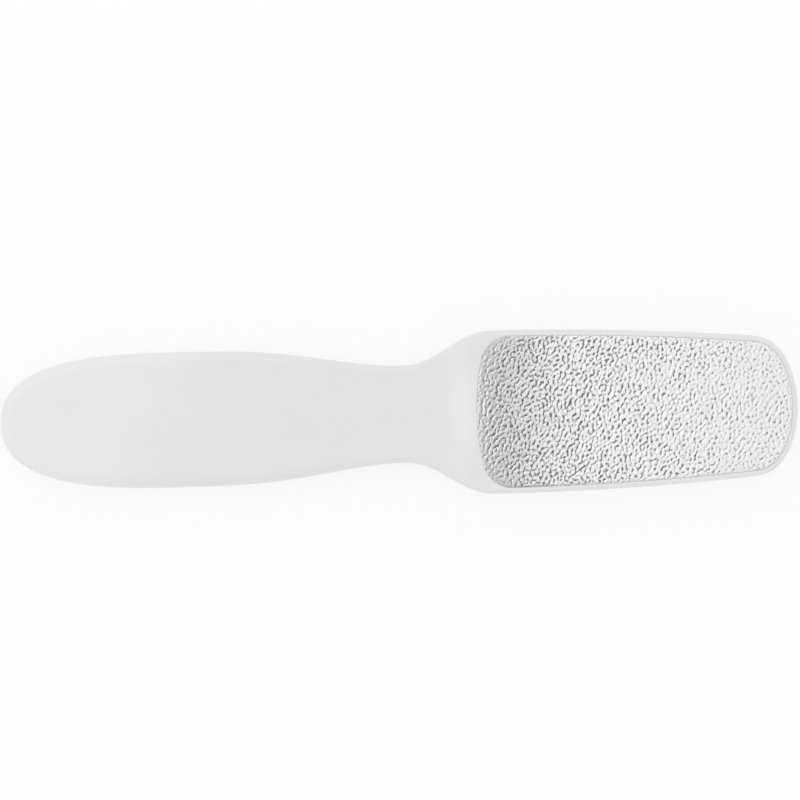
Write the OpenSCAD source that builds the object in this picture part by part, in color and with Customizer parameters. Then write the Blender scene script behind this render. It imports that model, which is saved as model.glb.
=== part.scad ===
// Two-sided foot file: a slim moulded paddle in two half shells, with an embossed
// metal file plate bonded into a seat on each face of the head.
// The paddle lies along X, its butt towards -X, and rests on its rear face at z = 0.

/* [Outline] */
// Length of the palm end, from the butt to the widest point of the handle
palm_len = 50; // [44:0.5:58]
// Length of the grip, from the widest point of the handle to the neck
grip_len = 61.3; // [54:0.1:70]
// Length of the flare, from the neck to the widest point of the head
flare_len = 24.2; // [22:0.1:32]
// Length of the head, from its widest point to where the tip rounds off
head_len = 71.5; // [56:0.5:84]
// Length of the rounded tip
tip_len = 13; // [10:0.5:16]
// Width of the handle at its widest point
palm_w = 37.3; // [33:0.1:42]
// Width of the neck
neck_w = 26.8; // [22:0.1:31]
// Width of the head at its widest point
head_w = 45.1; // [40:0.1:52]
// Width of the head where the tip rounds off
tip_w = 39; // [34:0.1:44]

/* [Thickness] */
// Thickness of the handle at the palm
palm_t = 10; // [9:0.1:12]
// Thickness of the neck
neck_t = 8; // [7:0.1:9]
// Thickness of the head at its rim
head_t = 9.7; // [9.4:0.1:11]
// Height of the straight side above and below the seam
side_h = 2.2; // [1.4:0.1:2.6]
// Width of the rounded edge along the handle
grip_round_w = 3; // [2:0.1:4]
// Width of the rounded edge round the head
head_round_w = 0.8; // [0.4:0.1:0.9]

/* [Shells] */
// Thickness of the side wall
wall_t = 2.3; // [2:0.1:2.8]
// Thickness of the face over the pockets of the handle
face_t = 2; // [1.6:0.1:2.4]
// Thickness of the floor under a file plate
seat_t = 1.6; // [1.2:0.1:2]
// Chamfer along the seam
seam_chamfer = 0.15; // [0.05:0.05:0.3]
// Thickness of the locating lip inside the seam
lip_t = 1; // [0.7:0.1:1.2]
// Height of the locating lip
lip_h = 0.9; // [0.6:0.1:1.2]
// Clearance round the locating lip
lip_clear = 0.1; // [0.05:0.05:0.15]
// Thickness of the ribs
rib_t = 1.4; // [1:0.1:2]
// Spacing of the cross ribs
rib_pitch = 14; // [10:0.5:20]
// Radius of the bosses
boss_r = 3; // [2.6:0.1:3.5]
// Radius of the locating pins
pin_r = 1.5; // [1:0.1:1.8]
// Length of the locating pins past the seam
pin_len = 1.6; // [1.2:0.1:1.7]
// Clearance round and ahead of the locating pins
pin_clear = 0.05; // [0.02:0.01:0.1]

/* [File plates] */
// Width of the rim that frames a file plate
rim_w = 1.65; // [1.1:0.05:2]
// Distance from the edge of the raised head to the file plate
shelf_w = 5.1; // [3:0.1:6]
// Length of the ramp from the neck up to the raised head
ramp_len = 4.2; // [3:0.1:6]
// Distance that a file plate reaches back past the widest point of the head
plate_back = 4.1; // [2:0.1:8]
// Radius of the file plate's end next to the handle
plate_end_r = 69; // [50:1:120]
// Radius of the file plate's corners next to the handle
plate_corner_r = 6; // [3:0.1:8]
// Thickness of the file plate's sheet
sheet_t = 0.4; // [0.3:0.05:0.6]
// Height of the coarse front nodules
coarse_h = 0.45; // [0.3:0.05:0.6]
// Height of the fine rear nodules
fine_h = 0.3; // [0.2:0.05:0.45]
// Distance between neighbouring nodules
nodule_pitch = 1.75; // [1.7:0.05:2.4]
// Gap round a file plate in its seat
seat_gap = 0.1; // [0.05:0.05:0.25]
// Thickness of the adhesive film under a file plate
film_t = 0.2; // [0.1:0.05:0.3]
// Distance that the film stays back from the file plate's edge
film_inset = 0.6; // [0.4:0.1:1.5]

/* [Hidden] */

// Places along the paddle, measured from the butt
grip_at = palm_len;
neck_at = grip_at + grip_len;
head_at = neck_at + flare_len;
tip_at = head_at + head_len;
length = tip_at + tip_len;
plate_at = head_at - plate_back;
shelf_at = plate_at - shelf_w;
shelf_r = plate_end_r + shelf_w;

// Heights above the seam
nodule_top = palm_t / 2;
pocket_palm_h = palm_t / 2 - face_t;
pocket_neck_h = neck_t / 2 - face_t;
function seat_floor(nodule_h) = nodule_top - nodule_h - sheet_t - film_t;

// How square the rounded ends are, and how late each ease along the sides sets in
palm_square = 3;
palm_full = 2.4;
grip_lag = 1.46;
flare_lag = 1.04;
taper_lag = 2.05;
tip_square = 2.7;
tip_full = 1.9;

// Sections along each stretch of the outline, and steps round the edge
palm_steps = 12;
grip_steps = 9;
flare_steps = 14;
head_steps = 7;
tip_steps = 8;
round_steps = 3;
// Points across the face at each section, as shares of its half width
across_shares = [1, 0.5, 0, -0.5, -1];
// Places of the locating pins, as shares of the length and of the half width there
pin_shares = [[0.12, 0], [0.3, 0], [0.45, 0], [0.66, 0.5], [0.66, -0.5], [0.9, 0.45], [0.9, -0.45]];
// Ends of the three pockets, as shares of the length
palm_pocket_share = 0.31;
neck_pocket_share = 0.56;
// How far the nodules vary in height and in place, as shares of their height and spacing.
// Half of them keep their full height, so that the file lies steadily on many level tips.
nodule_height_share = 0.3;
nodule_shift_share = 0.22;
// Height of the sheet's edge, as a share of the nodules' height, which sets it flush with the rim
margin_share = 0.6;
nodule_seed = 11;
// Overrun of every cut
overrun = 0.5;
$fn = 48;

// Blends
function mix(a, b, t) = a + (b - a) * t;
function clamp(t) = min(max(t, 0), 1);
function ease(t) = (1 - cos(180 * clamp(t))) / 2;
function share_of(s, start, len) = clamp((s - start) / len);

// Width of the head as a plain taper, before the tip is rounded
function taper_w(s) = mix(head_w, tip_w, pow(max(s - head_at, 0) / head_len, taper_lag));

// Half width of the paddle at the distance s from the butt
function half_w(s) =
    s < grip_at ? palm_w / 2 * pow(1 - pow(1 - s / palm_len, palm_square), 1 / palm_full)
    : s < neck_at ? mix(palm_w, neck_w, ease(pow((s - grip_at) / grip_len, grip_lag))) / 2
    : s < head_at ? mix(neck_w, head_w, ease(pow((s - neck_at) / flare_len, flare_lag))) / 2
    : taper_w(s) / 2 * pow(1 - pow(share_of(s, tip_at, tip_len), tip_square), 1 / tip_full);

// Sections along the paddle, closer together where the ends round off
STATIONS = concat(
    [for (i = [0:palm_steps - 1]) palm_len * (1 - cos(90 * i / palm_steps))],
    [for (i = [0:grip_steps - 1]) grip_at + grip_len * i / grip_steps],
    [for (i = [0:flare_steps - 1]) neck_at + flare_len * i / flare_steps],
    [for (i = [0:head_steps - 1]) head_at + head_len * i / head_steps],
    [for (i = [0:tip_steps]) tip_at + tip_len * sin(90 * i / tip_steps)]
);
LAST = len(STATIONS) - 1;
LOOP = 2 * LAST;
SIDE = [for (s = STATIONS) [s, s == length ? 0 : half_w(s)]];

// Outward normals of the side, from the two chords that meet at each section
function unit(v) = v / norm(v);
NORMALS = [
    for (i = [0:LAST])
        i == 0 ? [-1, 0]
        : i == LAST ? [1, 0]
        : let (t = unit(unit(SIDE[i + 1] - SIDE[i]) + unit(SIDE[i] - SIDE[i - 1]))) [-t.y, t.x]
];

// Point j of the outline drawn in by d: up the left side, then back along the right one
function section_of(j) = j <= LAST ? j : LOOP - j;
function edge_point(j, d) =
    let (i = section_of(j), p = SIDE[i] - d * NORMALS[i])
    [p.x, j <= LAST ? max(p.y, 0) : -p.y];
function outline(d) = [for (j = [0:LOOP - 1]) edge_point(j, d)];

// How far an arc of radius r falls back from its crown at the offset y
function sag(y, r) = r - sqrt(r * r - y * y);

// Height of the face above the seam: level at the palm, lower at the neck, raised at the head
function face_h(x, y) =
    let (s = x - sag(y, shelf_r), ramp_at = shelf_at - ramp_len)
    s < ramp_at ? mix(palm_t, neck_t, ease(share_of(s, grip_at, grip_len))) / 2
    : mix(neck_t, head_t, ease(share_of(s, ramp_at, ramp_len))) / 2;

// Width of the rounded edge, from the full handle to the crisp head
function round_w(s) =
    mix(grip_round_w, head_round_w, ease(share_of(s, grip_at + grip_len / 2, grip_len / 2 + flare_len)));

// Rings of the side: how far each is drawn in, and how high it lies
function ring_inset(k, s) =
    k == 0 ? seam_chamfer
    : k < 3 ? 0
    : round_w(s) * (1 - cos(90 * (k - 2) / round_steps));
function ring_h(k, p) =
    k == 0 ? 0
    : k == 1 ? seam_chamfer
    : k == 2 ? side_h
    : mix(side_h, face_h(p.x, p.y), sin(90 * (k - 2) / round_steps));
RINGS = 3 + round_steps;
function ring_point(k, j) =
    let (p = edge_point(j, ring_inset(k, STATIONS[section_of(j)])))
    [p.x, p.y, ring_h(k, p)];

// Points across the face at section i, on lines that bow towards the butt near the head
function bow(s) = s < neck_at ? ease(share_of(s, grip_at, grip_len)) : 1 - ease(share_of(s, head_at, head_len));
function face_point(i, share) =
    let (
        p = ring_point(RINGS - 1, i),
        y = p.y * share,
        x = p.x - bow(STATIONS[i]) * (sag(p.y, shelf_r) - sag(y, shelf_r))
    )
    [x, y, face_h(x, y)];

// A quad as two triangles, its corners clockwise from outside
function quad(a, b, c, d) = [[a, b, c], [a, c, d]];
function flat_list(lists) = [for (l = lists) each l];

// Half of the paddle's outer form, from the seam up to its face
module half_form() {
    inner = len(across_shares) - 2;
    face_start = RINGS * LOOP;
    // Index of point m across section i: the outermost ones belong to the top ring
    function across(i, m) =
        m == 0 ? (RINGS - 1) * LOOP + i
        : m == inner + 1 ? (RINGS - 1) * LOOP + LOOP - i
        : face_start + (i - 1) * inner + m - 1;
    points = concat(
        [for (k = [0:RINGS - 1], j = [0:LOOP - 1]) ring_point(k, j)],
        [for (i = [1:LAST - 1], m = [1:inner]) face_point(i, across_shares[m])]
    );
    sides = flat_list([
        for (k = [0:RINGS - 2], j = [0:LOOP - 1])
            let (a = k * LOOP + j, b = k * LOOP + (j + 1) % LOOP)
            quad(a, b, b + LOOP, a + LOOP)
    ]);
    face = flat_list([
        for (i = [1:LAST - 2], m = [0:inner])
            quad(across(i, m), across(i + 1, m), across(i + 1, m + 1), across(i, m + 1))
    ]);
    butt = [for (m = [0:inner]) [(RINGS - 1) * LOOP, across(1, m), across(1, m + 1)]];
    tip = [for (m = [0:inner]) [across(LAST - 1, m), (RINGS - 1) * LOOP + LAST, across(LAST - 1, m + 1)]];
    seam = flat_list([for (i = [1:LAST - 2]) quad(i, LOOP - i, LOOP - i - 1, i + 1)]);
    seam_ends = [[0, LOOP - 1, 1], [LAST - 1, LAST + 1, LAST]];
    polyhedron(concat(points), concat(sides, face, butt, tip, seam, seam_ends));
}

// Corner of the file plate: how far the end falls back at the share v of the half width
function corner_back(v) =
    let (start = 1 - plate_corner_r / (head_w / 2 - rim_w), q = share_of(v, start, 1 - start))
    plate_corner_r * (1 - sqrt(1 - q * q));

// Point of the file plate's field, u from its handle end to its tip and v from side to side
function plate_point(u, v) =
    let (
        full_w = head_w / 2 - rim_w,
        start = plate_at + sag(full_w * v, plate_end_r) + corner_back(abs(v)),
        tip_reach = (tip_len - rim_w) * pow(1 - pow(abs(v), tip_full), 1 / tip_square),
        x = mix(start, tip_at + tip_reach, u)
    )
    [x, v * (taper_w(x) / 2 - rim_w)];

// The field is a grid in which nodules and hollows alternate
nodule_step = nodule_pitch / sqrt(2);
PLATE_U = 2 * round((tip_at + tip_len - rim_w - plate_at) / nodule_step / 2);
PLATE_V = 2 * round((head_w - 2 * rim_w) / nodule_step / 2);
PLATE_LOOP = 2 * (PLATE_U + PLATE_V);
// Cell of the grid at point k of its border, anticlockwise from above
function border_cell(k) =
    k < PLATE_U ? [k, 0]
    : k < PLATE_U + PLATE_V ? [PLATE_U, k - PLATE_U]
    : k < 2 * PLATE_U + PLATE_V ? [2 * PLATE_U + PLATE_V - k, PLATE_V]
    : [0, PLATE_LOOP - k];
function grid_point(i, j) = plate_point(i / PLATE_U, 2 * j / PLATE_V - 1);
BORDER = [for (k = [0:PLATE_LOOP - 1]) let (c = border_cell(k)) grid_point(c.x, c.y)];

// The file plate's outline moved out by d
function plate_outline(d) = [
    for (k = [0:PLATE_LOOP - 1])
        let (
            a = BORDER[(k + PLATE_LOOP - 1) % PLATE_LOOP],
            b = BORDER[(k + 1) % PLATE_LOOP],
            t = unit(b - a)
        )
        BORDER[k] + d * [t.y, -t.x]
];

// A sheet with nodules of the height nodule_h, its back at z = 0
module nodule_sheet(nodule_h) {
    row = PLATE_V + 1;
    count = (PLATE_U + 1) * row;
    lots = rands(-1, 1, 3 * count, nodule_seed);
    function inside(i, j) = i > 0 && i < PLATE_U && j > 0 && j < PLATE_V;
    function raised(i, j) = inside(i, j) && (i + j) % 2 == 0;
    function top_point(i, j) =
        let (
            n = 3 * (i * row + j),
            p = grid_point(i, j),
            d = raised(i, j) ? nodule_step * nodule_shift_share : 0,
            h = raised(i, j) ? nodule_h * (1 - nodule_height_share * max(lots[n], 0))
                : inside(i, j) ? 0
                : nodule_h * margin_share
        )
        [p.x + d * lots[n + 1], p.y + d * lots[n + 2], sheet_t + h];
    points = concat(
        [for (i = [0:PLATE_U], j = [0:PLATE_V]) top_point(i, j)],
        [for (p = BORDER) [p.x, p.y, 0]]
    );
    // Each cell is split between its two hollows, so that every nodule is a pyramid
    top = flat_list([
        for (i = [0:PLATE_U - 1], j = [0:PLATE_V - 1])
            let (a = i * row + j, b = a + row, c = b + 1, d = a + 1)
            (i + j) % 2 == 0 ? [[a, d, b], [c, b, d]] : [[a, d, c], [a, c, b]]
    ]);
    border = flat_list([
        for (k = [0:PLATE_LOOP - 1])
            let (
                next = (k + 1) % PLATE_LOOP,
                p = border_cell(k),
                q = border_cell(next),
                a = p.x * row + p.y,
                b = q.x * row + q.y
            )
            quad(a, b, count + next, count + k)
    ]);
    back = [[for (k = [0:PLATE_LOOP - 1]) count + k]];
    polyhedron(points, concat(top, border, back));
}

// The band between two insets of the paddle's outline
module band(outer_inset, inner_inset) {
    difference() {
        polygon(outline(outer_inset));
        polygon(outline(inner_inset));
    }
}

// The places of the pins, as children moved there
module at_pins() {
    for (p = pin_shares) translate([length * p.x, half_w(length * p.x) * p.y]) children();
}

// Plan of one pocket between two places, with its ribs and bosses left standing
module pocket_plan(from, to) {
    ribs = ceil((to - from) / rib_pitch);
    difference() {
        intersection() {
            polygon(outline(wall_t));
            translate([from, -head_w / 2]) square([to - from, head_w]);
        }
        translate([from, -rib_t / 2]) square([to - from, rib_t]);
        for (n = [1:1:ribs - 1])
            translate([mix(from, to, n / ribs) - rib_t / 2, -head_w / 2]) square([rib_t, head_w]);
        at_pins() circle(boss_r);
    }
}

// One half shell, face up, hollowed from the seam and with its file plate's seat
module half_shell(nodule_h) {
    palm_end = length * palm_pocket_share;
    neck_end = length * neck_pocket_share;
    floor_h = seat_floor(nodule_h);
    difference() {
        half_form();
        translate([0, 0, -overrun]) {
            linear_extrude(overrun + pocket_palm_h) pocket_plan(0, palm_end);
            linear_extrude(overrun + pocket_neck_h) pocket_plan(palm_end + rib_t, neck_end);
            linear_extrude(overrun + floor_h - seat_t) pocket_plan(neck_end + rib_t, length);
        }
        translate([0, 0, floor_h]) linear_extrude(nodule_top) polygon(plate_outline(seat_gap));
    }
}

// From the shells' own frame, with the butt at zero and the seam at z = 0, to the part's
module placed() {
    translate([-length / 2, 0, palm_t / 2]) children();
}

module front_shell() {
    color([0.9, 0.9, 0.89]) placed() {
        half_shell(coarse_h);
        translate([0, 0, -lip_h]) linear_extrude(lip_h) band(wall_t - lip_t, wall_t);
        at_pins() translate([0, 0, -pin_len]) cylinder(h = pin_len + pocket_neck_h, r = pin_r);
    }
}

module rear_shell() {
    color([0.88, 0.88, 0.87]) placed() mirror([0, 0, 1]) difference() {
        half_shell(fine_h);
        translate([0, 0, -overrun]) {
            linear_extrude(overrun + lip_h + lip_clear) band(wall_t - lip_t - lip_clear, wall_t + lip_clear);
            at_pins() cylinder(h = overrun + pin_len + pin_clear, r = pin_r + pin_clear);
        }
    }
}

// Adhesive film between a seat and its file plate
module film(nodule_h) {
    translate([0, 0, seat_floor(nodule_h)]) linear_extrude(film_t) polygon(plate_outline(-film_inset));
}

module front_adhesive() {
    color([0.86, 0.83, 0.72]) placed() film(coarse_h);
}

module rear_adhesive() {
    color([0.86, 0.83, 0.72]) placed() mirror([0, 0, 1]) film(fine_h);
}

// File plate on its film
module file_plate(nodule_h) {
    translate([0, 0, seat_floor(nodule_h) + film_t]) nodule_sheet(nodule_h);
}

module front_file_plate() {
    color([0.78, 0.79, 0.8]) placed() file_plate(coarse_h);
}

module rear_file_plate() {
    color([0.74, 0.75, 0.77]) placed() mirror([0, 0, 1]) file_plate(fine_h);
}

front_shell();
rear_shell();
front_adhesive();
rear_adhesive();
front_file_plate();
rear_file_plate();
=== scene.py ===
"""Two-sided foot file: a moulded ABS paddle that holds an electroformed nickel plate in each face."""

import math
import random

import bmesh
import bpy
import numpy as np
from bpy.props import FloatProperty, FloatVectorProperty, PointerProperty
from mathutils import Euler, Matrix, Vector
from mathutils.kdtree import KDTree


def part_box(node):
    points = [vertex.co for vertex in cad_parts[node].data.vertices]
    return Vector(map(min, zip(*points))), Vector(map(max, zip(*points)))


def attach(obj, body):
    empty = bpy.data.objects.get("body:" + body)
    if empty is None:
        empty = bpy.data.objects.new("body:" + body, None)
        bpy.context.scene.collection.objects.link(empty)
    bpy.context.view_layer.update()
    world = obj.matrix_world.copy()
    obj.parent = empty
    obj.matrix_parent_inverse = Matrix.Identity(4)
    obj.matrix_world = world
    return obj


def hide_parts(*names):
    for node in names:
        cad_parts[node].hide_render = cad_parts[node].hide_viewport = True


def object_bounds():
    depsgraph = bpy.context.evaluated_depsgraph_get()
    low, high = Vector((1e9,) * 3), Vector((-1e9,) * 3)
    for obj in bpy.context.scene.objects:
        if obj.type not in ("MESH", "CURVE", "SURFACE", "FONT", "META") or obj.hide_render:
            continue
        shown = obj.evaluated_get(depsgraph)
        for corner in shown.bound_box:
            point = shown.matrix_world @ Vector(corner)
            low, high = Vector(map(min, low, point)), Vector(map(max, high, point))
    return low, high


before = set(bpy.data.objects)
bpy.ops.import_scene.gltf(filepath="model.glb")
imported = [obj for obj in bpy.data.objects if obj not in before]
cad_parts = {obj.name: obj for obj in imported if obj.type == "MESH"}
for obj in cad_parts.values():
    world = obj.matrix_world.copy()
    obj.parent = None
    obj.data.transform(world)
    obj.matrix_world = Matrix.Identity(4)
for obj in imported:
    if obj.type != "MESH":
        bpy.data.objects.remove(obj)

bl_info = {
    "name": "Foot file",
    "version": (1, 0, 0),
    "blender": (4, 5, 0),
    "location": "View3D > Sidebar > Foot file",
    "description": "Builds the finished surfaces of a two-sided foot file round its construction model",
    "category": "Object",
}

MM = 0.001
CAD_BOX = [list(corner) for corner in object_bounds()]
SHELL_LOW, SHELL_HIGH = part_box("rear_shell")[0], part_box("front_shell")[1]
LENGTH = SHELL_HIGH.x - SHELL_LOW.x
THICKNESS = SHELL_HIGH.z - SHELL_LOW.z
SEAM_Z = (SHELL_HIGH.z + SHELL_LOW.z) / 2
BODY = "root"


def linear(code):
    """A colour written as sRGB hex, as linear red, green, blue and alpha."""
    channels = [int(code[i:i + 2], 16) / 255 for i in (1, 3, 5)]
    return tuple(c / 12.92 if c <= 0.04045 else ((c + 0.055) / 1.055) ** 2.4 for c in channels) + (1.0,)


def length_prop(name, description, millimetres):
    """A length that a user can change, with its default in millimetres."""
    return FloatProperty(name=name, description=description, default=millimetres * MM, min=0, unit="LENGTH")


def colour_prop(name, description, code):
    """A colour that a user can change, with its default in sRGB hex."""
    return FloatVectorProperty(
        name=name, description=description, default=linear(code), size=4, min=0, max=1, subtype="COLOR"
    )


class PaddleSizes(bpy.types.PropertyGroup):
    """Sizes of the moulded paddle."""

    palm_len: length_prop("Palm length", "From the butt to the widest point of the handle", 50)
    grip_len: length_prop("Grip length", "From the widest point of the handle to the neck", 61.3)
    flare_len: length_prop("Flare length", "From the neck to the widest point of the head", 24.2)
    tip_len: length_prop("Tip length", "Length of the rounded tip", 13)
    palm_w: length_prop("Palm width", "Width of the handle at its widest point", 37.3)
    neck_w: length_prop("Neck width", "Width of the neck", 26.8)
    head_w: length_prop("Head width", "Width of the head at its widest point", 45.1)
    tip_w: length_prop("Tip width", "Width of the head where the tip rounds off", 39)
    neck_t: length_prop("Neck thickness", "Thickness of the neck over both faces", 8)
    head_t: length_prop("Head thickness", "Thickness of the head at its rim", 9.7)
    side_h: length_prop("Side height", "Height of the straight side on each half", 2.2)
    grip_round_w: length_prop("Handle edge", "Width of the rounded edge along the handle", 3)
    head_round_w: length_prop("Head edge", "Width of the rounded edge round the head", 0.8)
    seam_chamfer: length_prop("Seam chamfer", "Chamfer of each half along the seam", 0.15)
    seat_round: length_prop("Seat edge", "Radius of the edge round a file plate's seat", 0.08)


class PlateSizes(bpy.types.PropertyGroup):
    """Sizes of the file plates and of their seats."""

    rim_w: length_prop("Rim width", "Width of the rim that frames a file plate", 1.65)
    shelf_w: length_prop("Shelf width", "From the edge of the raised head to the file plate", 5.1)
    ramp_len: length_prop("Ramp length", "Ramp from the neck up to the raised head", 4.2)
    plate_back: length_prop("Plate reach", "Reach of the plate past the widest point of the head", 4.1)
    end_r: length_prop("End radius", "Radius of the plate's end next to the handle", 69)
    corner_r: length_prop("Corner radius", "Radius of the plate's corners next to the handle", 6)
    sheet_t: length_prop("Sheet thickness", "Thickness of the sheet under its nodules", 0.4)
    film_t: length_prop("Film thickness", "Thickness of the adhesive film", 0.2)
    seat_gap: length_prop("Seat gap", "Gap round a file plate in its seat", 0.03)
    coarse_h: length_prop("Coarse height", "Height of the front nodules", 0.45)
    fine_h: length_prop("Fine height", "Height of the rear nodules", 0.3)
    coarse_gap: length_prop("Coarse gap", "Least distance between the front nodules", 1.18)
    fine_gap: length_prop("Fine gap", "Least distance between the rear nodules", 0.95)


class Finishes(bpy.types.PropertyGroup):
    """Colours of the finished surfaces."""

    abs_white: colour_prop("ABS", "Pale moulded plastic", "#E9E9E9")
    # The shade colour is painted shade, laid over all but the palm and the ramp's painted highlight
    abs_painted_shade: colour_prop("ABS shade", "The plastic where it has greyed with age", "#E4E4E4")
    nickel: colour_prop("Nickel", "Bright nickel on the nodules", "#E3E2E5")
    # The hollow colour is painted shade in the hollows between the nodules
    nickel_hollow_shade: colour_prop("Nickel hollow", "Duller nickel between the nodules", "#85868E")
    adhesive: colour_prop("Adhesive", "Acrylic film under the plates", "#E0D9BC")
    floor: colour_prop("Floor", "Plain pale floor", "#FAFAFA")


def mix(a, b, t):
    """The value at the share t of the way from a to b."""
    return a + (b - a) * t


def share(s, start, length):
    """How much of a stretch lies behind the place s, from 0 to 1."""
    return min(max((s - start) / length, 0), 1)


def ease(t):
    """A share that sets in and ends softly."""
    return (1 - math.cos(math.pi * t)) / 2


def sag(y, r):
    """How far an arc of radius r falls back from its crown at the offset y."""
    return r - math.sqrt(r * r - y * y)


def unit(x, y):
    """The same direction, one long."""
    size = math.hypot(x, y)
    return x / size, y / size


class Form:
    """The paddle's outline and faces. Places run from the butt, and heights from the seam."""

    # How square the rounded ends are, and how late each ease along the sides sets in
    PALM_SQUARE, PALM_FULL = 3, 2.4
    GRIP_LAG, FLARE_LAG, TAPER_LAG = 1.46, 1.04, 2.05
    TIP_SQUARE, TIP_FULL = 2.7, 1.9
    # Sections along each stretch, and steps round the edge
    PALM_STEPS, GRIP_STEPS, FLARE_STEPS, HEAD_STEPS, TIP_STEPS = 44, 44, 44, 130, 50
    ROUND_STEPS = 9
    # How far the raised head's level part starts past its edge, and rounds that settle that place
    LEVEL_LEAD = 0.3 * MM
    LEVEL_ROUNDS = 20

    def __init__(self, paddle, plate):
        self.paddle, self.plate = paddle, plate
        self.neck_at = paddle.palm_len + paddle.grip_len
        self.head_at = self.neck_at + paddle.flare_len
        self.tip_at = LENGTH - paddle.tip_len
        self.plate_at = self.head_at - plate.plate_back
        self.shelf_at = self.plate_at - plate.shelf_w
        self.shelf_r = plate.end_r + plate.shelf_w
        self.join = self.find_join()
        self.stations = self.find_stations()
        self.last = len(self.stations) - 1
        self.loop = 2 * self.last
        self.join_section = self.PALM_STEPS + self.GRIP_STEPS + self.FLARE_STEPS
        self.side = [(s, self.half_width(s)) for s in self.stations]
        self.normals = self.find_normals()

    def taper(self, s):
        """Width of the head as a plain taper, before its tip is rounded."""
        p = self.paddle
        t = max(s - self.head_at, 0) / (self.tip_at - self.head_at)
        return mix(p.head_w, p.tip_w, t ** self.TAPER_LAG)

    def half_width(self, s):
        """Half the width of the paddle at the place s."""
        p = self.paddle
        if s < p.palm_len:
            round_end = 1 - (1 - s / p.palm_len) ** self.PALM_SQUARE
            return p.palm_w / 2 * round_end ** (1 / self.PALM_FULL)
        if s < self.neck_at:
            t = share(s, p.palm_len, p.grip_len) ** self.GRIP_LAG
            return mix(p.palm_w, p.neck_w, ease(t)) / 2
        if s < self.head_at:
            t = share(s, self.neck_at, p.flare_len) ** self.FLARE_LAG
            return mix(p.neck_w, p.head_w, ease(t)) / 2
        round_end = 1 - share(s, self.tip_at, p.tip_len) ** self.TIP_SQUARE
        return self.taper(s) / 2 * round_end ** (1 / self.TIP_FULL)

    def find_join(self):
        """Place on the side where the face turns level, on the arc just past the raised head's edge."""
        s = self.shelf_at
        for _ in range(self.LEVEL_ROUNDS):
            s = self.shelf_at + self.LEVEL_LEAD + sag(self.half_width(s), self.shelf_r)
        return s

    def find_stations(self):
        """Places of the sections from the butt to the tip, closest together at the two round ends."""
        p = self.paddle
        quarter = math.pi / 2
        palm, tip = self.PALM_STEPS, self.TIP_STEPS
        places = [p.palm_len * (1 - math.cos(quarter * i / palm)) for i in range(palm)]
        stretches = (
            (p.palm_len, self.neck_at, self.GRIP_STEPS),
            (self.neck_at, self.join, self.FLARE_STEPS),
            (self.join, self.tip_at, self.HEAD_STEPS),
        )
        for start, end, steps in stretches:
            places += [mix(start, end, i / steps) for i in range(steps)]
        places += [self.tip_at + p.tip_len * math.sin(quarter * i / tip) for i in range(tip)]
        return places + [LENGTH]

    def find_normals(self):
        """Outward normals of the left side, one for each section."""
        normals = [(-1.0, 0.0)]
        for before, here, after in zip(self.side, self.side[1:], self.side[2:]):
            a = unit(here[0] - before[0], here[1] - before[1])
            b = unit(after[0] - here[0], after[1] - here[1])
            t = unit(a[0] + b[0], a[1] + b[1])
            normals.append((-t[1], t[0]))
        return normals + [(1.0, 0.0)]

    def face_height(self, x, y):
        """Level at the palm, lower at the neck, and raised again at the head behind an arc."""
        p = self.paddle
        s = x - sag(y, self.shelf_r)
        ramp_at = self.shelf_at - self.plate.ramp_len
        if s < ramp_at:
            return mix(THICKNESS, p.neck_t, ease(share(s, p.palm_len, p.grip_len))) / 2
        return mix(p.neck_t, p.head_t, ease(share(s, ramp_at, self.plate.ramp_len))) / 2

    def round_width(self, s):
        """Width of the rounded edge, full along the handle and crisp round the head."""
        p = self.paddle
        t = share(s, p.palm_len + p.grip_len / 2, p.grip_len / 2 + p.flare_len)
        return mix(p.grip_round_w, p.head_round_w, ease(t))

    def side_point(self, j, inset):
        """Point j of the outline drawn in by inset: up the left side, then back along the right one."""
        i = j if j <= self.last else self.loop - j
        x, y = self.side[i]
        x -= inset * self.normals[i][0]
        y = max(y - inset * self.normals[i][1], 0) if 0 < i < self.last else 0.0
        return x, y if j <= self.last else -y

    def ring_point(self, j, step):
        """Point j on the rounded edge, from its start at step 0 to the face at the last step."""
        i = j if j <= self.last else self.loop - j
        turn = math.pi / 2 * step / self.ROUND_STEPS
        x, y = self.side_point(j, self.round_width(self.stations[i]) * (1 - math.cos(turn)))
        return x, y, mix(self.paddle.side_h, self.face_height(x, y), math.sin(turn))

    def face_point(self, i, across):
        """Point on the face at section i, on lines that bow towards the butt near the head."""
        s = self.stations[i]
        x, y, _ = self.ring_point(i, self.ROUND_STEPS)
        bow = ease(share(s, self.paddle.palm_len, self.paddle.grip_len))
        inner = y * across
        x -= bow * (sag(y, self.shelf_r) - sag(inner, self.shelf_r))
        return x, inner, self.face_height(x, inner)

    def corner_back(self, v):
        """How far the plate's end falls back at its corners, at the share v of the half width."""
        start = 1 - self.plate.corner_r / (self.paddle.head_w / 2 - self.plate.rim_w)
        q = share(v, start, 1 - start)
        return self.plate.corner_r * (1 - math.sqrt(1 - q * q))

    def plate_point(self, u, v):
        """Point of a file plate, u from its handle end to its tip and v from side to side."""
        p, rim = self.paddle, self.plate.rim_w
        start = self.plate_at + sag((p.head_w / 2 - rim) * v, self.plate.end_r) + self.corner_back(abs(v))
        reach = (p.tip_len - rim) * (1 - abs(v) ** self.TIP_FULL) ** (1 / self.TIP_SQUARE)
        x = mix(start, self.tip_at + reach, u)
        return x, v * (self.taper(x) / 2 - rim)

    def plate_outline(self, along, across):
        """Points round a file plate, closest together where its corners turn, and their outward normals."""
        cells = [(i, 0) for i in range(along)] + [(along, j) for j in range(across)]
        cells += [(i, across) for i in range(along, 0, -1)] + [(0, j) for j in range(across, 0, -1)]
        points = [self.plate_point(i / along, math.sin(math.pi * (j / across - 0.5))) for i, j in cells]
        points = np.array(points)
        chords = np.roll(points, -1, axis=0) - np.roll(points, 1, axis=0)
        chords /= np.hypot(chords[:, 0], chords[:, 1])[:, None]
        return points, np.stack((chords[:, 1], -chords[:, 0]), axis=1)

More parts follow.
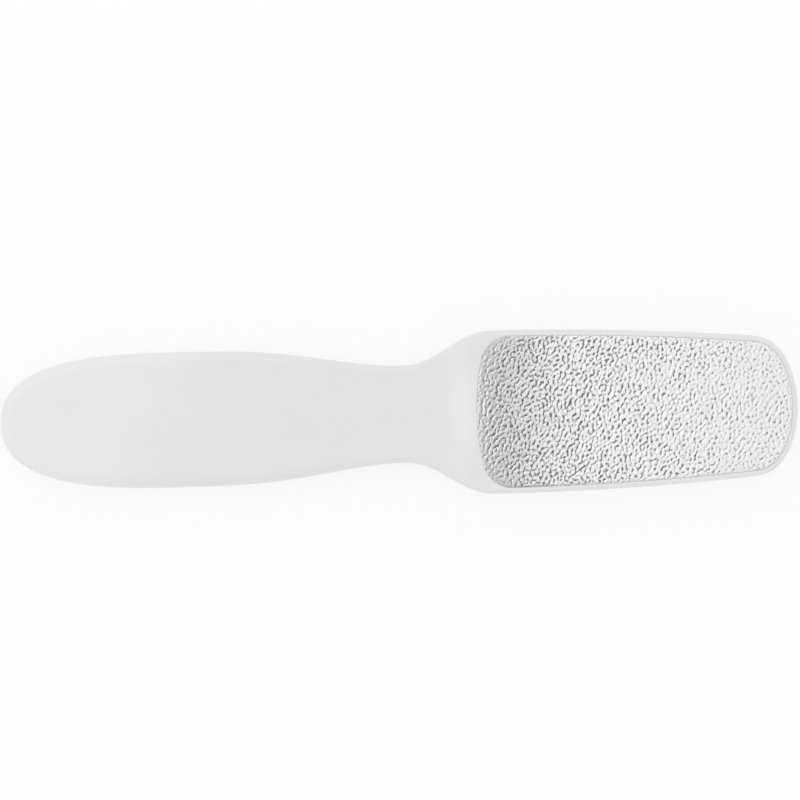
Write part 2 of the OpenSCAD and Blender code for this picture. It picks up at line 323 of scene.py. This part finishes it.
    def seat_floor(self, nodule_h):
        """Height of a seat's floor, at which the tips of its plate's nodules end level with the palm."""
        return THICKNESS / 2 - nodule_h - self.plate.sheet_t - self.plate.film_t


def part_place(x, y, h, side):
    """A place along the paddle and a height above the seam, on the front or the rear, in the part's frame."""
    return Vector((x - LENGTH / 2, y, SEAM_Z + side * h))


def new_edges(result):
    """The edges that an extrusion made, without the ones that join them to the old loop."""
    verts = {g for g in result["geom"] if isinstance(g, bmesh.types.BMVert)}
    return [g for g in result["geom"] if isinstance(g, bmesh.types.BMEdge) and set(g.verts) <= verts]


def loop_of(edges):
    """The points of a loop of edges."""
    return {v for e in edges for v in e.verts}


def first_loop(bm, layer, count, place):
    """A closed loop of edges in an empty mesh, whose points are numbered round it in the layer."""
    made = bmesh.ops.create_circle(bm, cap_ends=False, segments=count, radius=LENGTH)
    for k, v in enumerate(made["verts"]):
        v[layer] = k
        v.co = place(k)
    return list(bm.edges)


def carry_loop(bm, layer, edges, place):
    """Extrudes a loop and puts each of its points in its new place."""
    edges = new_edges(bmesh.ops.extrude_edge_only(bm, edges=edges))
    for v in loop_of(edges):
        v.co = place(v[layer])
    return edges


def finish_mesh(bm, name, material, sharp):
    """Turns the faces outwards, marks sharp edges, and puts the piece on the part's body."""
    if any(len(edge.link_faces) != 2 for edge in bm.edges):
        raise RuntimeError(f"{name} isn't a closed surface")
    bmesh.ops.recalc_face_normals(bm, faces=bm.faces)
    for face in bm.faces:
        face.smooth = True
    for edge in bm.edges:
        edge.smooth = edge.calc_face_angle(0) < sharp
    mesh = bpy.data.meshes.new(name)
    bm.to_mesh(mesh)
    bm.free()
    mesh.materials.append(material)
    piece = bpy.data.objects.new(name, mesh)
    bpy.context.scene.collection.objects.link(piece)
    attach(piece, BODY)
    return piece


# Lines across the handle's face, and points round a seat, along it and across it
FACE_STEPS = 72
SEAT_ALONG, SEAT_ACROSS = 1600, 900
SEAT_EDGE_STEPS = 3
# Points closer together than this are one
MERGE_REACH = MM / 1000
# The least angle between two faces that shows as a sharp edge, on the shells and on the plates
SHELL_SHARP, NICKEL_SHARP = math.radians(32), math.radians(30)


def build_shell(form, side, nodule_h):
    """One half of the paddle, from the seam over its rounded edge to the face and the plate's seat."""
    p, plate = form.paddle, form.plate
    bm = bmesh.new()
    layer = bm.verts.layers.int.new("point")
    loop = first_loop(
        bm, layer, form.loop, lambda j: part_place(*form.side_point(j, p.seam_chamfer), 0, side)
    )
    bmesh.ops.triangle_fill(bm, use_beauty=True, use_dissolve=False, edges=loop, normal=(0, 0, 1))
    loop = carry_loop(bm, layer, loop, lambda j: part_place(*form.side_point(j, 0), p.seam_chamfer, side))
    for step in range(form.ROUND_STEPS + 1):
        loop = carry_loop(bm, layer, loop, lambda j: part_place(*form.ring_point(j, step), side))

    # The face of the handle is a grid whose border meets the top of the rounded edge
    grid = bmesh.ops.create_grid(bm, x_segments=form.join_section, y_segments=FACE_STEPS, size=1)
    for v in grid["verts"]:
        section = round((v.co.x + 1) / 2 * form.join_section)
        v.co = part_place(*form.face_point(section, v.co.y), side)
    bmesh.ops.remove_doubles(bm, verts=bm.verts, dist=MERGE_REACH)

    # The level face of the head runs in from its border to the nearest points round the seat
    points, normals = form.plate_outline(SEAT_ALONG, SEAT_ACROSS)
    border = [e for e in bm.edges if len(e.link_faces) == 1]
    for v in loop_of(border):
        gaps = np.hypot(points[:, 0] - v.co.x - LENGTH / 2, points[:, 1] - v.co.y)
        v[layer] = int(gaps.argmin())

    def seat_place(k, out, h):
        return part_place(*(points[k] + out * normals[k]), h, side)

    for step in range(SEAT_EDGE_STEPS + 1):
        turn = math.pi / 2 * step / SEAT_EDGE_STEPS
        out = plate.seat_gap + p.seat_round * (1 - math.sin(turn))
        h = p.head_t / 2 - p.seat_round * (1 - math.cos(turn))
        border = carry_loop(bm, layer, border, lambda k: seat_place(k, out, h))
    floor_h = form.seat_floor(nodule_h)
    border = carry_loop(bm, layer, border, lambda k: seat_place(k, plate.seat_gap, floor_h))
    bmesh.ops.triangle_fill(bm, use_beauty=True, use_dissolve=False, edges=border, normal=(0, 0, 1))
    return bm


# Throws for each nodule of the scatter, and how much closer together they lie along the file than across it
SCATTER_TRIES = 25
CROWD_ALONG = 1.14
# The crest of a nodule: its length and bend as shares of the gap, and its heading
CREST_LENGTHS = (0.2, 0.75)
CREST_BEND = 0.4
CREST_HEADING, CREST_SCATTER = math.radians(80), math.radians(45)
CREST_STEPS = 5
# So many of the nearest points always belong to two nodules at least
NEIGHBOUR_POINTS = CREST_STEPS + 1
# A groove ends where its nodule is nearer than the next by this share of the gap, and the power rounds it
GROOVE_REACH, NODULE_ROUND = 0.55, 2
# Depth of the grooves where the swell is low, and where it is high and the nodules grow together
GROOVE_DEEP, GROOVE_SHALLOW = 1.35, -0.1
# Share of the nodules in the relief, beside the swell
NODULE_SHARE = 0.8
# The waves of the swell: how many, their middle length as a share of the gap, and its spread
WAVES, WAVE_SHARE, WAVE_SPREAD = 44, 1.2, 0.35
# The waves' heading with the most swell, and how much more that is
WAVE_LEAN, LEAN_SHARE = math.radians(-25), 0.2
# Levels of the summed waves, in spreads, where they bottom out and where they top out
WAVE_LOW, WAVE_HIGH = -1.6, 1.5


def scatter(lots, low, high, gap):
    """Places in a rectangle, at random but never closer together than the gap."""
    cells = {}
    for _ in range(round(SCATTER_TRIES * (high[0] - low[0]) * (high[1] - low[1]) / gap ** 2)):
        x, y = lots.uniform(low[0], high[0]), lots.uniform(low[1], high[1])
        i, j = math.floor(x / gap), math.floor(y / gap)
        near = [p for a in (i - 1, i, i + 1) for b in (j - 1, j, j + 1) for p in cells.get((a, b), ())]
        if all(math.hypot(x - u, y - v) > gap for u, v in near):
            cells.setdefault((i, j), []).append((x, y))
    return [p for cell in cells.values() for p in cell]


def crest_points(lots, low, high, gap):
    """Points along the short bent crests of nodules scattered over a rectangle."""
    points = []
    for x, y in scatter(lots, low, high, gap):
        heading = lots.gauss(CREST_HEADING, CREST_SCATTER)
        length, bend = gap * lots.uniform(*CREST_LENGTHS), lots.uniform(-CREST_BEND, CREST_BEND)
        along, aside = math.cos(heading), math.sin(heading)
        for n in range(CREST_STEPS):
            # A crest is a parabola that bows by its bend, half of it to each side of its place
            t = n / (CREST_STEPS - 1) - 0.5
            off = bend * (4 * t * t - 0.5)
            points.append(
                (x + length * (t * along - off * aside), y + length * (t * aside + off * along), 0)
            )
    return points


def grooves_between(lots, xy, gap):
    """The grooves between scattered nodules, from 0 on top of a nodule to 1 halfway between two of them."""
    points = crest_points(lots, xy.min(axis=0) - 2 * gap, xy.max(axis=0) + 2 * gap, gap)
    tree = KDTree(len(points))
    for n, point in enumerate(points):
        tree.insert(point, n)
    tree.balance()
    leads = []
    for x, y in xy:
        nearest = {}
        for _, n, distance in tree.find_n((x, y, 0), NEIGHBOUR_POINTS):
            nearest.setdefault(n // CREST_STEPS, distance)
        own, other = list(nearest.values())[:2]
        leads.append(other - own)
    return (1 - np.clip(np.array(leads) / (GROOVE_REACH * gap), 0, 1)) ** NODULE_ROUND


def swell(lots, xy, gap):
    """A swell of waves that run all ways, from 0 in its lows to 1 in its highs."""
    total = np.zeros(len(xy))
    power = 0.0
    for n in range(WAVES):
        turn = math.pi * (n + lots.random()) / WAVES
        wave = WAVE_SHARE * gap * math.exp(WAVE_SPREAD * (2 * lots.random() - 1))
        size = 1 + LEAN_SHARE * math.cos(2 * (turn - WAVE_LEAN))
        phase = 2 * math.pi * lots.random()
        total += size * np.cos(2 * math.pi / wave * (xy @ (math.cos(turn), math.sin(turn))) + phase)
        power += size * size / 2
    return np.clip((total / math.sqrt(power) - WAVE_LOW) / (WAVE_HIGH - WAVE_LOW), 0, 1)


def nodule_field(xy, gap, seed):
    """Heights from 0 in the pits to 1 on the nodules, whose grooves are deep only where the swell is low."""
    lots = random.Random(seed)
    xy = xy * (CROWD_ALONG, 1)
    grooves, level = grooves_between(lots, xy, gap), swell(lots, xy, gap)
    nodules = 1 - grooves * mix(GROOVE_DEEP, GROOVE_SHALLOW, level)
    return np.clip(mix(np.sqrt(level), nodules, NODULE_SHARE), 0, 1)


# Lines of a plate's grid, and how much they crowd towards its long sides
PLATE_ALONG, PLATE_ACROSS = 470, 195
EDGE_CROWDING = 0.35
# How far in from the edge of the sheet the nodules are full
EDGE_FADE = 0.45 * MM
# Share of the relief that is left at the handle end, and how far in from there it is full
END_LEVEL, END_FADE = 0.3, 7 * MM
# Height of the plain margin of the sheet, as a share of the nodules' height
MARGIN_LEVEL = 0.66
# How far the deposit has filled the hollows at the tip, and the power with which that sets in on the way
FILL_MOST, FILL_RISE = 0.84, 0.56
# Seeds of the random scatter of the two plates
COARSE_SEED, FINE_SEED = 5, 8


def build_plate(form, side, nodule_h, gap, seed):
    """A file plate: a fine grid raised into nodules that die down towards the edge of the sheet."""
    bm = bmesh.new()
    bmesh.ops.create_grid(bm, x_segments=PLATE_ALONG, y_segments=PLATE_ACROSS, size=1)
    base = form.seat_floor(nodule_h) + form.plate.film_t
    places, fades, fills = [], [], []
    for v in bm.verts:
        u, t = (v.co.x + 1) / 2, v.co.y
        across = mix(t, math.sin(math.pi / 2 * t), EDGE_CROWDING)
        x, y = form.plate_point(u, across)
        start, end = form.plate_point(0, across)[0], form.plate_point(1, across)[0]
        half = form.taper(x) / 2 - form.plate.rim_w
        near = min(half - abs(y), end - x, x - start)
        roll = mix(END_LEVEL, 1, ease(share(x - start, 0, END_FADE)))
        places.append((x, y))
        fades.append(roll * ease(share(near, 0, EDGE_FADE)))
        fills.append(FILL_MOST * share(x, start, end - start) ** FILL_RISE)
    field, fades = nodule_field(np.array(places), gap, seed), np.array(fades)
    raised = mix(mix(MARGIN_LEVEL, field, fades), 1, np.array(fills))
    # The nickel reads from this attribute how deep a point lies between the nodules, and by it paints shade
    # and sets the roughness there
    hollow = bm.verts.layers.float.new("hollow")
    for v, (x, y), r, h in zip(bm.verts, places, raised, (1 - field) * fades):
        v.co = part_place(x, y, base + form.plate.sheet_t + nodule_h * r, side)
        v[hollow] = h
    border = [e for e in bm.edges if e.is_boundary]
    border = new_edges(bmesh.ops.extrude_edge_only(bm, edges=border))
    for v in loop_of(border):
        v.co.z = SEAM_Z + side * base
    bmesh.ops.triangle_fill(bm, use_beauty=True, use_dissolve=False, edges=border, normal=(0, 0, 1))
    return bm


def add(tree, kind, inputs=None, **settings):
    """Adds a node with its settings. An input given as a socket is linked, and any other is set."""
    node = tree.nodes.new(kind)
    for name, value in settings.items():
        setattr(node, name, value)
    for name, value in (inputs or {}).items():
        if isinstance(value, bpy.types.NodeSocket):
            tree.links.new(value, node.inputs[name])
        else:
            node.inputs[name].default_value = value
    return node


def new_material(name):
    """A material of that name with an empty node tree, and the tree."""
    material = bpy.data.materials.new(name)
    material.use_nodes = True
    material.node_tree.nodes.clear()
    return material, material.node_tree


def per_metre(millimetres):
    """Scale of a pattern whose features are this many millimetres across."""
    return 1 / (millimetres * MM)


# The palm keeps the plain colour as far as a slanted line, and from there painted shade darkens the plastic
PALM_SLANT = (1, -0.5, 0)
SHADE_FROM, SHADE_FULL = -82 * MM, -52 * MM
# A painted highlight on the ramp keeps the plain colour in a patch, which is longer across the paddle than
# along it
HIGHLIGHT_SQUEEZE = (1, 0.35, 0)
HIGHLIGHT_PLACE = (18.5 * MM, 0, 0)
HIGHLIGHT_INNER, HIGHLIGHT_OUTER = 1.5 * MM, 5.5 * MM


def moulded_abs(finish):
    """ABS, injection-moulded in a lightly blasted tool: a satin sheen over a very fine, even grain, under
    painted shade that spares the palm and a painted highlight on the ramp.
    """
    material, tree = new_material("injection_moulded_abs")
    place = add(tree, "ShaderNodeTexCoord").outputs["Object"]
    along = add(
        tree, "ShaderNodeVectorMath", {0: place, 1: PALM_SLANT}, operation="DOT_PRODUCT"
    ).outputs["Value"]
    # Painted shade darkens all but the palm and the painted highlight on the ramp, with random clouds in the
    # tone
    from_palm = add(
        tree,
        "ShaderNodeMapRange",
        {"Value": along, "From Min": SHADE_FROM, "From Max": SHADE_FULL},
        interpolation_type="SMOOTHSTEP",
    )
    # The painted highlight: a lighter patch on the ramp where the painted shade is left out
    squeezed = add(
        tree, "ShaderNodeVectorMath", {0: place, 1: HIGHLIGHT_SQUEEZE}, operation="MULTIPLY"
    ).outputs["Vector"]
    off_highlight = add(tree, "ShaderNodeVectorMath", {0: squeezed, 1: HIGHLIGHT_PLACE}, operation="DISTANCE")
    from_highlight = add(
        tree,
        "ShaderNodeMapRange",
        {"Value": off_highlight.outputs["Value"], "From Min": HIGHLIGHT_INNER, "From Max": HIGHLIGHT_OUTER},
        interpolation_type="SMOOTHSTEP",
    )
    painted_shade = add(
        tree,
        "ShaderNodeMath",
        {0: from_palm.outputs["Result"], 1: from_highlight.outputs["Result"]},
        operation="MULTIPLY",
    )
    cloud = add(tree, "ShaderNodeTexNoise", {"Vector": place, "Scale": per_metre(12), "Detail": 3.0})
    clouded = add(
        tree,
        "ShaderNodeMapRange",
        {"Value": cloud.outputs["Fac"], "From Min": 0.3, "From Max": 0.7, "To Min": -0.2, "To Max": 0.2},
    )
    tint = add(
        tree,
        "ShaderNodeMath",
        {0: painted_shade.outputs["Value"], 1: clouded.outputs["Result"]},
        operation="ADD",
        use_clamp=True,
    )
    # The tint mixes the painted shade, with its random clouds, into the plastic's colour
    colour = add(
        tree,
        "ShaderNodeMix",
        {"Factor": tint.outputs["Value"], "A": finish.abs_white, "B": finish.abs_painted_shade},
        data_type="RGBA",
    )
    # Flow and cooling leave a faint waviness, and the blasted tool a grain of about a third of a millimetre
    wavy = add(tree, "ShaderNodeTexNoise", {"Vector": place, "Scale": per_metre(9), "Detail": 1.0})
    grain = add(tree, "ShaderNodeTexNoise", {"Vector": place, "Scale": per_metre(0.35), "Detail": 3.0})
    sheen = add(
        tree,
        "ShaderNodeMapRange",
        {"Value": wavy.outputs["Fac"], "From Min": 0.3, "From Max": 0.7, "To Min": 0.36, "To Max": 0.44},
    )
    wavy_bump = add(
        tree,
        "ShaderNodeBump",
        {"Height": wavy.outputs["Fac"], "Strength": 0.3, "Distance": 0.03 * MM},
    )
    bump = add(
        tree,
        "ShaderNodeBump",
        {
            "Height": grain.outputs["Fac"], "Strength": 0.35, "Distance": 0.012 * MM,
            "Normal": wavy_bump.outputs["Normal"],
        },
    )
    shader = add(
        tree,
        "ShaderNodeBsdfPrincipled",
        {
            "Base Color": colour.outputs[2], "Roughness": sheen.outputs["Result"], "IOR": 1.53,
            "Normal": bump.outputs["Normal"],
        },
    )
    add(tree, "ShaderNodeOutputMaterial", {"Surface": shader.outputs["BSDF"]})
    return material


def electroformed_nickel(finish):
    """Nickel, electroformed: bright and slightly rough on the nodules, dull in the hollows and darker there
    with painted shade.
    """
    material, tree = new_material("electroformed_nickel")
    place = add(tree, "ShaderNodeTexCoord").outputs["Object"]
    hollow = add(tree, "ShaderNodeAttribute", attribute_name="hollow").outputs["Fac"]
    # Depth between the nodules sets both the painted shade in the hollows and the nickel's roughness
    depth = add(tree, "ShaderNodeMapRange", {"Value": hollow, "From Min": 0.55, "From Max": 0.92})
    colour = add(
        tree,
        "ShaderNodeMix",
        {"Factor": depth.outputs["Result"], "A": finish.nickel, "B": finish.nickel_hollow_shade},
        data_type="RGBA",
    )
    rough = add(
        tree,
        "ShaderNodeMapRange",
        {"Value": depth.outputs["Result"], "To Min": 0.25, "To Max": 0.45},
    )
    # The deposit's own grain, drawn at a fifth of a millimetre so that it can show at all
    grain = add(tree, "ShaderNodeTexNoise", {"Vector": place, "Scale": per_metre(0.2), "Detail": 3.0})
    bump = add(
        tree,
        "ShaderNodeBump",
        {"Height": grain.outputs["Fac"], "Strength": 0.15, "Distance": 0.01 * MM},
    )
    shader = add(
        tree,
        "ShaderNodeBsdfPrincipled",
        {
            "Base Color": colour.outputs[2], "Metallic": 1.0, "Roughness": rough.outputs["Result"],
            "Normal": bump.outputs["Normal"],
        },
    )
    add(tree, "ShaderNodeOutputMaterial", {"Surface": shader.outputs["BSDF"]})
    return material


def acrylic_film(finish):
    """Acrylic transfer adhesive, calendered: a soft, faintly cloudy film."""
    material, tree = new_material("calendered_acrylic_film")
    place = add(tree, "ShaderNodeTexCoord").outputs["Object"]
    cloud = add(tree, "ShaderNodeTexNoise", {"Vector": place, "Scale": per_metre(4), "Detail": 2.0})
    rough = add(
        tree, "ShaderNodeMapRange", {"Value": cloud.outputs["Fac"], "To Min": 0.45, "To Max": 0.7}
    )
    shader = add(
        tree,
        "ShaderNodeBsdfPrincipled",
        {"Base Color": finish.adhesive, "Roughness": rough.outputs["Result"], "IOR": 1.47},
    )
    add(tree, "ShaderNodeOutputMaterial", {"Surface": shader.outputs["BSDF"]})
    return material


# Share of plain white in what the camera and gloss see of the floor
FLOOR_WHITE = 0.75


def plain_floor(finish):
    """A plain pale floor that the camera sees as near white, with the object's shadow on it."""
    material, tree = new_material("plain_floor")
    path = add(tree, "ShaderNodeLightPath")
    seen = add(
        tree,
        "ShaderNodeMath",
        {0: path.outputs["Is Camera Ray"], 1: path.outputs["Is Glossy Ray"]},
        operation="MAXIMUM",
    )
    diffuse = add(tree, "ShaderNodeBsdfDiffuse", {"Color": finish.floor})
    glow = add(tree, "ShaderNodeEmission", {"Color": (1, 1, 1, 1), "Strength": 1.0})
    white = add(tree, "ShaderNodeMath", {0: seen.outputs["Value"], 1: FLOOR_WHITE}, operation="MULTIPLY")
    both = add(
        tree,
        "ShaderNodeMixShader",
        {0: white.outputs["Value"], 1: diffuse.outputs["BSDF"], 2: glow.outputs["Emission"]},
    )
    add(tree, "ShaderNodeOutputMaterial", {"Surface": both.outputs["Shader"]})
    return material


class FOOTFILE_OT_shells(bpy.types.Operator):
    """Builds the two moulded half shells over their construction solids"""

    bl_idname = "footfile.shells"
    bl_label = "Moulded shells"

    def execute(self, context):
        scene = context.scene
        form = Form(scene.paddle_sizes, scene.plate_sizes)
        material = moulded_abs(scene.finishes)
        for name, node, side, nodule_h in (
            ("front_moulding", "front_shell", 1, form.plate.coarse_h),
            ("rear_moulding", "rear_shell", -1, form.plate.fine_h),
        ):
            piece = finish_mesh(build_shell(form, side, nodule_h), name, material, SHELL_SHARP)
            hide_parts(node)
        return {"FINISHED"}


class FOOTFILE_OT_file_plates(bpy.types.Operator):
    """Builds the coarse front and the fine rear file plate"""

    bl_idname = "footfile.file_plates"
    bl_label = "File plates"

    def execute(self, context):
        scene = context.scene
        form = Form(scene.paddle_sizes, scene.plate_sizes)
        material = electroformed_nickel(scene.finishes)
        plate = form.plate
        for name, node, side, nodule_h, gap, seed in (
            ("front_nickel_plate", "front_file_plate", 1, plate.coarse_h, plate.coarse_gap, COARSE_SEED),
            ("rear_nickel_plate", "rear_file_plate", -1, plate.fine_h, plate.fine_gap, FINE_SEED),
        ):
            bm = build_plate(form, side, nodule_h, gap, seed)
            piece = finish_mesh(bm, name, material, NICKEL_SHARP)
            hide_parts(node)
        return {"FINISHED"}


class FOOTFILE_OT_films(bpy.types.Operator):
    """Gives the adhesive films their finish"""

    bl_idname = "footfile.films"
    bl_label = "Adhesive films"

    def execute(self, context):
        material = acrylic_film(context.scene.finishes)
        for node in ("front_adhesive", "rear_adhesive"):
            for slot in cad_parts[node].material_slots:
                slot.material = material
        return {"FINISHED"}


# The photograph's view: the turn of the part's axis in it, its middle on the part, and its width there
VIEW_TURN = math.radians(1.386)
VIEW_MIDDLE = (0.29 * MM, 3.97 * MM)
VIEW_WIDTH = 221.1 * MM
CAMERA_HEIGHT = 1.5
SENSOR = 36.0
# Level of the light on plain surfaces, and of the horizon that gloss mirrors
PLAIN_LEVEL, HORIZON_LEVEL = 0.955, 0.75
# Gloss also mirrors a sky that brightens towards the upper left of the picture
SKY_SIDE = (-0.85, 0.53, 0)
SKY_DARK, SKY_BRIGHT = 0.09, 1.18


def studio_world():
    """Even light on plain surfaces, and for gloss an even horizon under a sky that is bright on one side."""
    world = bpy.data.worlds.new("studio")
    world.use_nodes = True
    tree = world.node_tree
    tree.nodes.clear()
    path = add(tree, "ShaderNodeLightPath")
    direction = add(tree, "ShaderNodeTexCoord").outputs["Generated"]
    aside = add(
        tree, "ShaderNodeVectorMath", {0: direction, 1: SKY_SIDE}, operation="DOT_PRODUCT"
    ).outputs["Value"]
    mirrored = add(
        tree,
        "ShaderNodeMapRange",
        {
            "Value": aside, "From Min": -0.5, "From Max": 0.5,
            "To Min": SKY_DARK, "To Max": SKY_BRIGHT,
        },
    )
    up = add(tree, "ShaderNodeSeparateXYZ", {"Vector": direction}).outputs["Z"]
    aloft = add(
        tree,
        "ShaderNodeMapRange",
        {"Value": up, "From Min": 0.1, "From Max": 0.7},
        interpolation_type="SMOOTHSTEP",
    )
    around = add(
        tree,
        "ShaderNodeMix",
        {"Factor": aloft.outputs["Result"], "A": HORIZON_LEVEL, "B": mirrored.outputs["Result"]},
    )
    gloss = add(
        tree,
        "ShaderNodeMix",
        {"Factor": path.outputs["Is Glossy Ray"], "A": PLAIN_LEVEL, "B": around.outputs[0]},
    )
    seen = add(
        tree,
        "ShaderNodeMix",
        {"Factor": path.outputs["Is Camera Ray"], "A": gloss.outputs[0], "B": 1.0},
    )
    sky = add(tree, "ShaderNodeBackground", {"Color": (1, 1, 1, 1), "Strength": seen.outputs[0]})
    add(tree, "ShaderNodeOutputWorld", {"Surface": sky.outputs["Background"]})
    return world


def add_lamp(name, target, place, size, power, spread=math.pi, **visibility):
    """A soft area lamp at place, turned towards the target."""
    data = bpy.data.lights.new(name, "AREA")
    data.shape = "RECTANGLE"
    data.size, data.size_y = size
    data.energy = power
    data.spread = spread
    lamp = bpy.data.objects.new(name, data)
    lamp.location = place
    lamp.rotation_euler = (Vector(target) - Vector(place)).to_track_quat("-Z", "Y").to_euler()
    lamp.visible_camera = False
    for flag, value in visibility.items():
        setattr(lamp, flag, value)
    bpy.context.scene.collection.objects.link(lamp)


# The floor's reach each way, and how far below the part it lies
FLOOR_REACH, FLOOR_DROP = 2, 0.02 * MM
# The lamp that lights the plain surfaces and that gloss doesn't show
KEY_PLACE, KEY_SIZE, KEY_POWER = (-0.4, 0.4, 0.55), (0.4, 0.4), 0.35
# Cards that only gloss shows, a narrow one over the plate's handle end and a wide one over its tip, each
# with its place, size and power
CARD_SPREAD = math.radians(70)
CARDS = (
    ("end_card", (0.015, 0, 0.03), (0.01, 0.1), 0.00024),
    ("tip_card", (0.123, 0, 0.055), (0.18, 0.14), 0.0068),
)


class FOOTFILE_OT_stage(bpy.types.Operator):
    """Sets the floor, the light and the camera of the photograph's view"""

    bl_idname = "footfile.stage"
    bl_label = "Stage"

    def execute(self, context):
        scene = context.scene
        bm = bmesh.new()
        bmesh.ops.create_grid(bm, x_segments=1, y_segments=1, size=FLOOR_REACH)
        mesh = bpy.data.meshes.new("floor")
        bm.to_mesh(mesh)
        bm.free()
        mesh.materials.append(plain_floor(scene.finishes))
        floor = bpy.data.objects.new("floor", mesh)
        floor.location.z = CAD_BOX[0][2] - FLOOR_DROP
        scene.collection.objects.link(floor)

        scene.world = studio_world()
        add_lamp("key", (0, 0, 0), KEY_PLACE, KEY_SIZE, KEY_POWER, visible_glossy=False)
        for name, place, size, power in CARDS:
            add_lamp(name, (*place[:2], 0), place, size, power, CARD_SPREAD, visible_diffuse=False)

        data = bpy.data.cameras.new("camera")
        data.sensor_width = SENSOR
        data.lens = SENSOR * CAMERA_HEIGHT / VIEW_WIDTH
        data.clip_end = 10
        camera = bpy.data.objects.new("camera", data)
        camera.location = (*VIEW_MIDDLE, SEAM_Z + CAMERA_HEIGHT)
        camera.rotation_euler = Euler((0, 0, -VIEW_TURN))
        scene.collection.objects.link(camera)
        scene.camera = camera
        scene.view_settings.view_transform = "Standard"
        return {"FINISHED"}


class FOOTFILE_PT_panel(bpy.types.Panel):
    """Lists the steps and the values of the foot file"""

    bl_idname = "FOOTFILE_PT_panel"
    bl_label = "Foot file"
    bl_space_type = "VIEW_3D"
    bl_region_type = "UI"
    bl_category = "Foot file"

    def draw(self, context):
        layout = self.layout
        for operator in OPERATORS:
            layout.operator(operator.bl_idname)
        for group in (context.scene.paddle_sizes, context.scene.plate_sizes, context.scene.finishes):
            box = layout.box()
            for name in group.__annotations__:
                box.prop(group, name)


OPERATORS = (FOOTFILE_OT_shells, FOOTFILE_OT_file_plates, FOOTFILE_OT_films, FOOTFILE_OT_stage)
CLASSES = (PaddleSizes, PlateSizes, Finishes, *OPERATORS, FOOTFILE_PT_panel)


def register():
    for cls in CLASSES:
        bpy.utils.register_class(cls)
    bpy.types.Scene.paddle_sizes = PointerProperty(type=PaddleSizes)
    bpy.types.Scene.plate_sizes = PointerProperty(type=PlateSizes)
    bpy.types.Scene.finishes = PointerProperty(type=Finishes)


def unregister():
    del bpy.types.Scene.finishes
    del bpy.types.Scene.plate_sizes
    del bpy.types.Scene.paddle_sizes
    for cls in reversed(CLASSES):
        bpy.utils.unregister_class(cls)


def main():
    register()
    bpy.ops.footfile.shells()
    bpy.ops.footfile.file_plates()
    bpy.ops.footfile.films()
    bpy.ops.footfile.stage()


if __name__ == "__main__":
    main()
